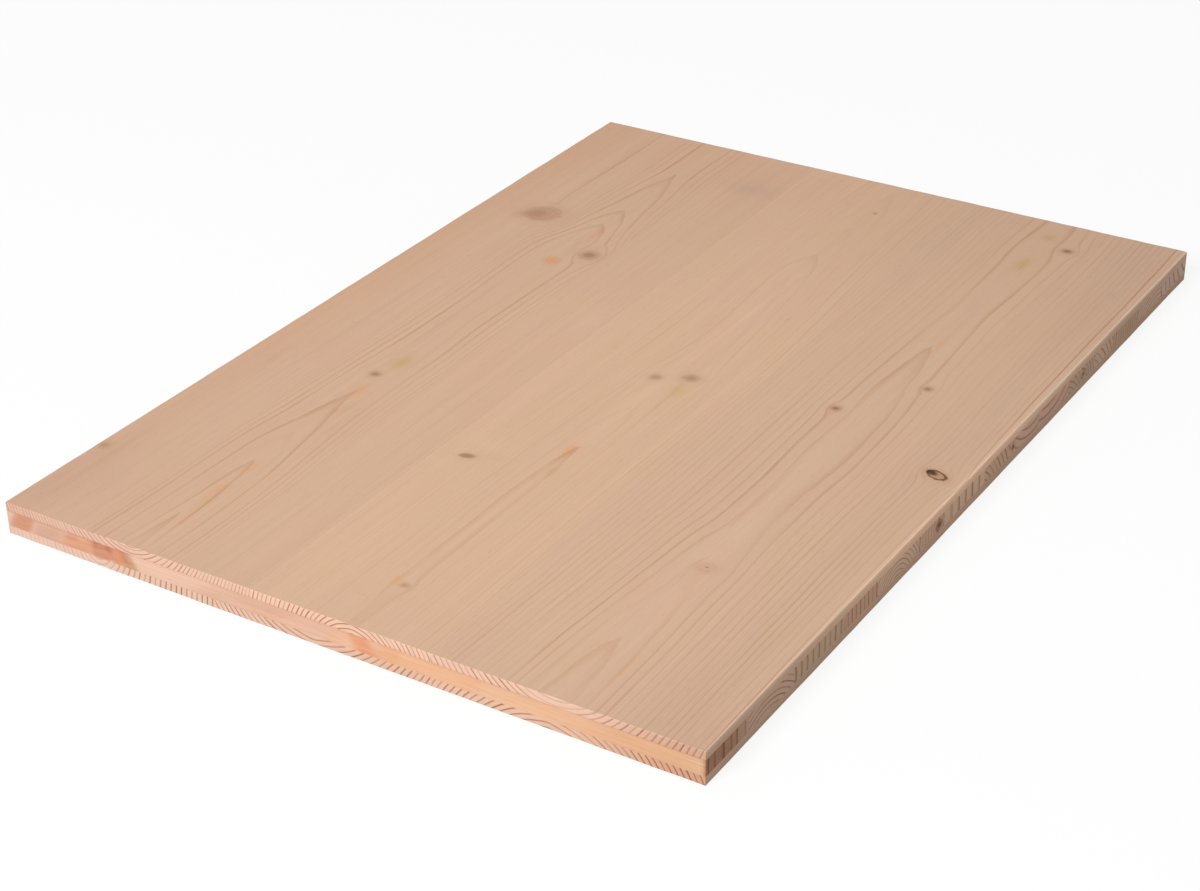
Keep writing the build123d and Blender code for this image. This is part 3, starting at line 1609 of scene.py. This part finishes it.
    def right_board(self) -> Strip:
        """The right board, with close lines on both flanks and the panel's darkest knot.

        Returns:
            The board, not yet built.
        """
        heart = heart_line(Heart.ABOVE, self.face, (
            (-300, 130.5, 31.4), (-280, 130.7, 31.9), (-240, 131.2, 32.9), (-200, 132.2, 34.6),
            (-165, 132.8, 35.8), (-150, 133, 36.2), (-122, 134, 37.2), (-100, 134.3, 37.5),
            (-40, 134.5, 36.8), (0, 133.8, 36.9), (20, 133, 37.1), (48, 130.5, 37.6),
            (70, 129.6, 38.1), (96, 129.2, 38.5), (121, 129, 39.0), (143, 129.1, 39.4),
            (196, 129.4, 39.4), (230, 129, 39.2), (250, 128, 39.4), (300, 127, 40.6),
        ))
        radii = (33.1, 36.1, 39.1, 41.95)
        knots = (
            Knot((146, 263, 17), (5.2, 4.2, THROUGH), body=0.42, core=0.42, rim=0.0, greyness=0.7),
            Knot((149, 56, 17), (3.6, 3.2, THROUGH), body=0.44, core=0.32, rim=0.05, greyness=0.5),
            Knot((115, 10, 17), (3.7, 3.4, THROUGH), body=0.46, core=0.38, rim=0.0, greyness=0.5),
            Knot((194, -28, 17), (6.4, 3.7, THROUGH), -22, body=0.55, core=0.88, core_reach=0.6,
                 rim=0.74, greyness=0.6, core_shift=0.6, sunk=0.12),
            Knot((135, -168, 17), (5.0, 4.0, THROUGH), body=0.08, core=0.42, core_reach=0.17,
                 rim=0.03, greyness=0.0),
        )
        stains = (
            *self.spots(Mark.OLIVE, (129, 276, 5, 5, 0.75), (130, 232, 4, 10, 0.95)),
            *self.spots(
                Mark.PITCH, (132, 108, 2.2, 10, 0.4), (146, -262, 1.6, 14, 0.3),
                (194, -28, 8, 5.5, 0.2),
            ),
            *self.spots(
                Mark.UMBER, (203.6, 195, 1.3, 60, 0.16), (190, 180, 30, 70, 0.11),
                (212, -295, 16, 26, 0.15),
            ),
            *self.spots(
                Mark.ROSE, (188, -270, 40, 60, 0.2), (195, 280, 60, 60, 0.2),
                (190, 0, 18, ENDLESS, 0.16), (120, -305, 150, 45, 0.2),
            ),
            *self.spots(Mark.GREY, (196, 0, 24, ENDLESS, 0.18)),
            *self.spots(Mark.BRIGHT, (62, 20, 9, 120, 0.13)),
            *self.spots(
                Mark.PALE, (131, -130, 8, 150, 0.5), (115, 17, 5, 9, 0.55), (149, 64, 4, 8, 0.3),
            ),
            # Painted highlight along the top right arris, where the rounded edge catches the light,
            # a little stronger over the back half.
            ColourSpot(Mark.ARRIS_HIGHLIGHT, (210.3, 0, 18.8), (1.3, ENDLESS, 1.5), 1.0),
            ColourSpot(Mark.ARRIS_HIGHLIGHT, (210.3, 200, 18.8), (1.3, 160, 1.5), 0.35),
            # Painted shade: this board's whole right side made darker and warmer, as the side in
            # shade looks.
            side_band(Mark.UMBER, 0, ENDLESS, 0.1, self.face),
            # Painted light: a lighter band along the middle of this board's shaded right side.
            side_band(Mark.BRIGHT, -25, 165, 1.05, self.face),
            side_band(Mark.BRIGHT, 250, 80, 0.1, self.face),
            front_band(Mark.UMBER, 208, 50, 0.7, self.face),
        )
        return self.board(
            3, Trunk(3.05, heart, radii, 9, ridge=0.3, ridge_reach=3.0, seed=30),
            rings_from(8, 0.25, 0.2, 0.34, 0.46, 0.28, 0.33, 0.28, 0.48, 0.42, 0.28, 0.4, 0.55,
                       0.45, 0.4, 0.3, 0.35, 0.3, 1.0, 0.3),
            stains, knots=knots,
            lines=((60, 0.35), (70, 0.75), (95, 0.85), (102, 0.9), (105, 1.4), (113, 1.3),
                   (120, 1.0), (146, 1.0), (156, 1.0), (160, 0.85), (190, 0.85), (202, 0.85),
                   (205, 1.0), (210, 0.7)),
            end_lines=((61, 0.9), (100, 1.2), (120, 0.6), (150, 0.7), (180, 1.15), (210, 1.2)),
            showings=(
                Showing((88, 150), (26, 170), 0.5),
                Showing((178, 130), (22, 150), 0.5),
                Showing((129, 112), (7, 16), 1.7),
                Showing((129, 84), (13, 42), 1.8),
                Showing((118, -42), (7, 40), 1.6),
                Showing((153, -160), (3, 60), 1.6),
                Showing((204, 180), (5, 140), 1.4),
                Showing((206, -90), (5, 130), 0.5),
            ),
            tone=(0.975, 0.978, 0.98),
        )

    def strips(self) -> Sequence[Strip]:
        """The three boards, from left to right."""
        return self.left_board(), self.middle_board(), self.right_board()


@dataclass
class BottomPly(Ply):
    """The lower face ply: three boards like the upper ones, seen at the edges and from below.

    Attributes:
        gaps: Usual gaps between the lines of the surface.
        tone: What the boards' colour is multiplied by: partly their darker wood, partly painted
            shade.
        finish: Their wood.
    """

    gaps: Point = (3.2, 11.0, 1.0)
    # Partly the boards' own darker wood, and partly painted shade that makes them darker and
    # cooler, as their side in shade looks.
    tone: Colour = (0.88, 0.91, 0.94)
    finish: Softwood = Softwood("bottom_board_wood", Grain.ALONG_PANEL, seed=9.0)

    def board(self, number: int, trunk: Trunk, **others: tuple) -> Strip:
        """One board, by its number from the left, with its knots, colour spots and end_lines.

        Args:
            number: Its number from the left.
            trunk: The trunk that it was sawn from.
            others: Its knots, colour spots and end_lines.

        Returns:
            The board, not yet built.
        """
        return Strip(
            f"bottom_board_{number}", "bottom_boards", Grain.ALONG_PANEL, trunk, self.finish,
            self.gaps, tone=self.tone, **others,
        )

    def strips(self) -> Sequence[Strip]:
        """The three boards, from left to right.

        Returns:
            The boards, not yet built.
        """
        left_heart = ((-300, -147, 10), (0, -140, 14), (300, -135, 12))
        middle_heart = ((-300, -10, 42), (60, -6, 46), (300, -2, 50))
        right_heart = ((-300, 126, -38), (-40, 130, -40), (300, 122, -46))
        warm = front_band(Mark.PITCH, 70, 100, 0.22, 3)
        left = self.board(
            1, Trunk(3.1, left_heart, ridge=1.0, seed=110),
            knots=(
                Knot((-95, -60, 2), (5, 6, THROUGH), body=0.5, rim=0.1, greyness=0.2),
                Knot((-180, 190, 2), (4, 4, THROUGH), body=0.4, core=0.7),
            ),
            stains=(
                front_band(Mark.PALE, -180, 50, 1.0, 2),
                front_band(Mark.ROSE, -190, 60, 0.35, 2),
            ),
            end_lines=((-210, 0.4), (-150, 0.55), (-130, 0.85), (-100, 1.6), (-72, 1.3)),
        )
        middle = self.board(
            2, Trunk(2.9, middle_heart, ridge=1.2, seed=120),
            knots=(
                Knot((20, 120, 2), (8, 7, THROUGH), 20, body=0.6, core=0.4, greyness=0.1),
                Knot((-40, -210, 2), (2.6, 2.6, THROUGH), body=0.4, core=0.8, rim=0.1),
            ),
            stains=(front_band(Mark.UMBER, 30, 60, 0.12, 2), warm),
            end_lines=((-70, 1.35), (60, 1.3)),
        )
        right = self.board(
            3, Trunk(3.0, right_heart, ridge=1.2, seed=130),
            knots=(
                Knot((170, -120, 2), (6, 5, THROUGH), -15, body=0.5, core=0.7, rim=0.5),
                Knot((105, 230, 2), (3, 3, THROUGH), body=0.4, core=0.7, rim=0.1),
            ),
            stains=(
                front_band(Mark.UMBER, 225, 70, 0.95, 2),
                warm,
                front_band(Mark.PITCH, 210, 70, 0.3, 3),
                # Painted shade: this board's whole right side made darker and warmer, as the side
                # in shade looks.
                side_band(Mark.UMBER, 0, ENDLESS, 0.28, 2),
                side_band(Mark.UMBER, 280, 170, 0.32, 2),
            ),
            end_lines=((61, 1.1), (100, 1.6), (125, 1.4), (150, 0.85), (180, 1.6)),
        )
        return left, middle, right


@dataclass(frozen=True)
class SlatSection:
    """How a core slat was cut from its trunk.

    Attributes:
        heart_offset: Place of the heart along the panel, from the slat's middle.
        heart_height: Height of the heart.
        ring_width: Usual width of a ring.
        tone: What its colour is multiplied by.
    """

    heart_offset: float
    heart_height: float
    ring_width: float
    tone: Colour = (1.0, 1.0, 1.0)


@dataclass(frozen=True)
class Stretch:
    """A stretch of the front edge in another colour.

    Attributes:
        left: Where it starts.
        right: Where it ends.
        marks: Pairs of a kind of colour spot and its strength.
        crispness: How sharply it ends.
        slant: How far it leans along x for each millimetre of height.
    """

    left: float
    right: float
    marks: tuple[tuple[Mark, float], ...]
    crispness: float = 6.0
    slant: float = 0.5

    def stains(self, height: float) -> tuple[ColourSpot, ...]:
        """Its colour spots, for a strip of this middle height.

        Args:
            height: Middle height of the strip that it is on.

        Returns:
            One spot for each of its marks.
        """
        centre = ((self.left + self.right) / 2, FRONT, height)
        reach = ((self.right - self.left) / 2, THROUGH, ENDLESS)
        return tuple(
            ColourSpot(kind, centre, reach, strength, self.crispness, self.slant)
            for kind, strength in self.marks
        )


@dataclass
class Core(Ply):
    """The core: slats side by side whose fibres run across the panel.

    Attributes:
        gaps: Usual gaps between the lines of the surface of the inner slats.
        outer_gaps: The same for the first and last slat, whose long sides are seen.
        middle: Height of the core's middle.
        finish: Its wood.
    """

    gaps: Point = (9.0, 1.4, 0.9)
    outer_gaps: Point = (1.6, 2.0, 0.9)
    middle: float = 9.5
    finish: Softwood = Softwood(
        "core_slat_wood", Grain.ACROSS_PANEL,
        early_face=srgb(216, 178, 156), late_face=srgb(186, 124, 84),
        # The end colours are partly the end grain's own darker colour and partly painted shade:
        # duller, as the core's end grain looks on the shaded right side.
        early_end=srgb(202, 167, 142), late_end=srgb(138, 93, 69),
        late_share_face=0.35, streakiness=2.4, seed=4.0,
    )

    def sections(self) -> tuple[SlatSection, ...]:
        """The slats behind the first, from front to back, as their end grain shows them.

        Returns:
            The sections, starting with that of slat 2.
        """
        return (
            SlatSection(-5, -25, 3.0, (1.0, 0.98, 1.0)),
            SlatSection(-42, 9.0, 6.0, (0.93, 0.94, 0.87)),
            SlatSection(-53, 6.0, 4.5, (0.96, 0.86, 0.79)),
            SlatSection(-2, -4, 2.6, (1.1, 1.1, 1.08)),
            SlatSection(-70, 12.0, 3.6, (1.03, 0.99, 0.97)),
            SlatSection(-90, 4.0, 8.5, (1.12, 1.12, 1.05)),
            SlatSection(-30, -12, 4.0, (1.0, 0.96, 0.84)),
            SlatSection(10, 40, 5.0, (1.06, 1.0, 0.99)),
            SlatSection(-8, 48, 6.0, (1.06, 0.97, 0.96)),
            SlatSection(-25, -10, 3.5, (0.9, 0.9, 0.86)),
            SlatSection(-30, -16, 4.0, (1.0, 1.02, 0.95)),
            SlatSection(-75, 9.0, 3.8, (0.87, 0.86, 0.8)),
            SlatSection(12, -22, 3.2, (1.05, 1.04, 1.12)),
            SlatSection(40, 30, 6.5, (0.99, 1.07, 1.14)),
        )

    def knots(self) -> dict[int, Knot]:
        """The knots in the slats' right ends, by the slat's number from the front.

        Returns:
            At most one knot for each slat.
        """
        return {
            6: Knot((SIDE, -57.6, 9), (THROUGH, 4.2, 3), body=0.85, core=0.66, rim=0.1,
                    greyness=0.2),
            9: Knot((SIDE, 36, 9.5), (THROUGH, 2.2, 3.2), body=0.5, core=0.8, rim=0.0),
            11: Knot((SIDE, 135, 9), (THROUGH, 3.2, 2.4), body=0.5, core=0.7, rim=0.1,
                     greyness=0.1),
        }

    def front_trunk(self) -> Trunk:
        """The front slat's trunk, whose rings graze the panel's front edge.

        Returns:
            The trunk of slat 1.
        """
        line = ((-SIDE, -356.6, 8.0), (-80, -356.0, 8.0), (0, -357.2, 8.5), (120, -359.0, 8.0),
                (SIDE, -360.0, 8.0))
        radii = (49.0, 55.0, 61.8, 67.2, 75.6, 82.5, 87.0, 95.4, 99.0)
        return Trunk(6.0, line, radii, 8, wander=0.03, seed=31)

    def front_stains(self) -> tuple[ColourSpot, ...]:
        """The front edge's stretches of dark wood and its painted shade, and the tone of the right
        end.

        Returns:
            The colour spots of slat 1.
        """
        amber, umber, pitch = Mark.AMBER, Mark.UMBER, Mark.PITCH
        olive, dull = Mark.OLIVE, Mark.GREY
        stretches = (
            # Painted shade: the very left end of the front edge made greyer, by the arris there.
            Stretch(-215, -206.5, ((dull, 0.6),), 4.0),
            Stretch(-207, -192, ((amber, 0.96), (dull, 0.2)), 7.0),
            Stretch(-192, -171, ((umber, 0.66), (dull, 0.2)), 6.0, 0.4),
            Stretch(-171, -149, ((amber, 0.55), (pitch, 0.5), (dull, 0.15)), 8.0, 0.7),
            Stretch(-151, -138, ((amber, 0.7), (umber, 0.52), (pitch, 0.3)), 6.0, 0.2),
            Stretch(-140, -128, ((amber, 0.75), (pitch, 0.7), (dull, 0.15)), 10.0, -0.5),
            Stretch(-130, -123, ((umber, 0.9), (pitch, 0.2), (dull, 0.3)), 3.0, -0.6),
            Stretch(-82, -30, ((umber, 0.42),), 5.0, 1.5),
            Stretch(-40, 10, ((umber, 0.25), (pitch, 0.12)), 5.0, 1.5),
            Stretch(0, 28, ((pitch, 0.3),), 8.0, 0.8),
            Stretch(14, 27, ((amber, 0.5), (pitch, 0.75)), 3.0, -0.5),
            Stretch(28, 42, ((pitch, 0.25), (umber, 0.1)), 6.0),
            Stretch(27, 90, ((pitch, 0.54), (olive, 0.24)), 8.0),
            Stretch(85, 215, ((pitch, 0.42), (olive, 0.24)), 8.0),
            Stretch(150, 225, ((umber, 0.2), (olive, 0.2)), 3.0),
        )
        upper = (
            ColourSpot(umber, (-145, FRONT, 12.5), (9.0, THROUGH, 1.8), 0.45, 4.0),
            ColourSpot(umber, (-166, FRONT, 12.2), (6.0, THROUGH, 2.4), 0.45, 4.0),
        )
        right_end = tuple(
            ColourSpot(kind, (SIDE + OUTSIDE, -290, self.middle), (2, 26, ENDLESS), strength, 4.0)
            for kind, strength in ((umber, 1.0), (dull, 1.0), (pitch, 0.5))
        )
        along = tuple(stain for stretch in stretches for stain in stretch.stains(self.middle))
        return (*along, *upper, glue_line(), *right_end)

    def slat(self, number: int, trunk: Trunk, **others: tuple) -> Strip:
        """One slat, by its number from the front, with its knots, colour spots and tone.

        Args:
            number: Its number from the front.
            trunk: The trunk that it was sawn from.
            others: Its knots, colour spots and tone.

        Returns:
            The slat, not yet built.
        """
        return Strip(
            f"core_slat_{number:02d}", "core_slats", Grain.ACROSS_PANEL, trunk, self.finish,
            self.gaps, lines=((-300, 1.0), (300, 1.0)), **others,
        )

    def inner_slat(self, number: int, section: SlatSection) -> Strip:
        """A slat behind the first, whose trunk's heart bends a little beside its middle.

        Args:
            number: Its number from the front.
            section: How it was cut from its trunk.

        Returns:
            The slat, not yet built.
        """
        low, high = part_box(f"core_slat_{number:02d}")
        across = (low.y + high.y) / 2 / MILLIMETRE + section.heart_offset
        heart = (
            (-SIDE, across, section.heart_height),
            (40, across - 3, section.heart_height + 2),
            (SIDE, across, section.heart_height),
        )
        knot = self.knots().get(number)
        return self.slat(
            number, Trunk(section.ring_width, heart, seed=200 + number),
            knots=(knot,) if knot else (), tone=section.tone,
        )

    def strips(self) -> Sequence[Strip]:
        """The fifteen slats, from front to back.

        Returns:
            The slats, not yet built.
        """
        front = self.slat(1, self.front_trunk(), stains=self.front_stains())
        slats = [front, *(self.inner_slat(*pair) for pair in enumerate(self.sections(), 2))]
        for outer in (0, -1):
            slats[outer] = replace(slats[outer], gaps=self.outer_gaps)
        return slats


# The studio

@dataclass(frozen=True)
class PhotoCamera:
    """The camera, where the picture was taken from.

    Attributes:
        place: Its place, in metres.
        azimuth: Degrees that it stands to the right of the panel's front.
        elevation: Degrees that it looks down.
        roll: Degrees that it is turned about its line of sight.
        lens: Focal length in millimetres.
        sensor: Width of the picture on the sensor, in millimetres.
    """

    place: Point = (0.6453, -1.0728, 0.6802)
    azimuth: float = 32.295
    elevation: float = 29.667
    roll: float = -0.799
    lens: float = 74.456
    sensor: float = 36.0

    def build(self) -> None:
        """Adds the camera and looks through it."""
        back = direction(self.azimuth, self.elevation)
        roll = math.radians(self.roll)
        level = Vector((0, 0, 1)).cross(back).normalized()
        upright = back.cross(level)
        right = level * math.cos(roll) + upright * math.sin(roll)
        up = upright * math.cos(roll) - level * math.sin(roll)
        turned = Matrix((right, up, back)).transposed().to_4x4()
        data = bpy.data.cameras.new("photo_camera")
        data.lens = self.lens
        data.sensor_fit = "HORIZONTAL"
        data.sensor_width = self.sensor
        data.clip_start = 0.01
        camera = bpy.data.objects.new("photo_camera", data)
        camera.matrix_world = Matrix.Translation(self.place) @ turned
        bpy.context.scene.collection.objects.link(camera)
        bpy.context.scene.camera = camera


@dataclass(frozen=True)
class Studio:
    """A pale floor, an even sky and one large soft lamp from the front and left.

    Attributes:
        lamp_azimuth: Degrees that the lamp stands to the right of the panel's front.
        lamp_elevation: Degrees that it stands above the floor.
        lamp_distance: Its distance from the panel's middle.
        lamp_size: Side of its square face.
        lamp_level: Brightness of a white card that faces the lamp.
        sky_level: Brightness of the sky for the light that it gives.
        floor_size: Side of the floor.
        floor_drop: How far the floor lies below the underside.
        floor_glow: Share of the floor's white that needs no light.
        floor_grey: Colour of the floor for the light that it throws back.
    """

    lamp_azimuth: float = -5.0
    lamp_elevation: float = 37.0
    lamp_distance: float = 3.5
    lamp_size: float = 1.4
    lamp_level: float = 0.81
    sky_level: float = 0.455
    floor_size: float = 14.0
    floor_drop: float = 0.0002
    floor_glow: float = 0.84
    floor_grey: float = 0.66

    def seen(self, graph: Graph) -> Socket:
        """1 for rays from the camera, a mirror or a glass, and 0 for those that carry light.

        Args:
            graph: Nodes of a floor's material or of the sky.

        Returns:
            The number.
        """
        path = graph.node("ShaderNodeLightPath", {}).outputs
        mirrored = graph.math("MAXIMUM", path["Is Glossy Ray"], path["Is Transmission Ray"])
        return graph.math("MAXIMUM", path["Is Camera Ray"], mirrored)

    def sky(self) -> None:
        """White to look at, and an even grey light."""
        world = bpy.data.worlds.new("studio_sky")
        world.use_nodes = True
        bpy.context.scene.world = world
        graph = Graph(world.node_tree)
        strength = graph.blend(self.seen(graph), self.sky_level, 1.0)
        light = graph.node("ShaderNodeBackground", {"Color": grey(1.0), "Strength": strength})
        graph.node("ShaderNodeOutputWorld", {"Surface": light.outputs[0]})

    def floor(self) -> None:
        """A pale floor that keeps a soft shadow."""
        half = self.floor_size / 2
        corners = np.array([(-half, -half), (half, -half), (half, half), (-half, half)])
        corners = np.column_stack([corners, np.full(4, -self.floor_drop)])
        ground = mesh_object("studio_floor", corners, np.array([[0, 1, 2, 3]]), {})
        material = blank_material("pale_floor")
        graph = Graph(material.node_tree)
        white = graph.node("ShaderNodeBsdfDiffuse", {"Color": grey(1 - self.floor_glow)})
        white_glow = {"Color": grey(1.0), "Strength": self.floor_glow}
        glow = graph.node("ShaderNodeEmission", white_glow)
        shown = graph.node("ShaderNodeAddShader", {0: white.outputs[0], 1: glow.outputs[0]})
        plain = graph.node("ShaderNodeBsdfDiffuse", {"Color": grey(self.floor_grey)})
        mixed = graph.node(
            "ShaderNodeMixShader", {0: self.seen(graph), 1: plain.outputs[0], 2: shown.outputs[0]},
        )
        graph.node("ShaderNodeOutputMaterial", {"Surface": mixed.outputs[0]})
        ground.data.materials.append(material)
        ground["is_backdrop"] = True

    def lamp(self) -> None:
        """The large soft lamp."""
        towards = direction(self.lamp_azimuth, self.lamp_elevation)
        data = bpy.data.lights.new("softbox", "AREA")
        data.shape = "SQUARE"
        data.size = self.lamp_size
        data.energy = self.lamp_level * math.pi**2 * self.lamp_distance**2
        lamp = bpy.data.objects.new("softbox", data)
        turned = towards.to_track_quat("Z", "Y").to_matrix().to_4x4()
        lamp.matrix_world = Matrix.Translation(towards * self.lamp_distance) @ turned
        bpy.context.scene.collection.objects.link(lamp)

    def build(self) -> None:
        """Adds sky, floor and lamp, and shows colours as they are."""
        self.sky()
        self.floor()
        self.lamp()
        bpy.context.scene.view_settings.view_transform = "Standard"


def main() -> None:
    """Builds the studio and the plies in order, sized by the model's bounds, and reports each
    piece.
    """
    logging.basicConfig(level=logging.INFO, format="%(name)s: %(message)s")
    cad_box = [list(corner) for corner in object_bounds()]
    low, high = (np.array(corner) / MILLIMETRE for corner in cad_box)
    sheet = Sheet(low, high)
    PhotoCamera().build()
    Studio().build()
    for ply in (TopPly(), Core(), BottomPly()):
        for piece in ply.build(sheet):
            log.info("%s: %s, %d faces", type(ply).__name__, piece.name, len(piece.data.polygons))


if __name__ == "__main__":
    main()
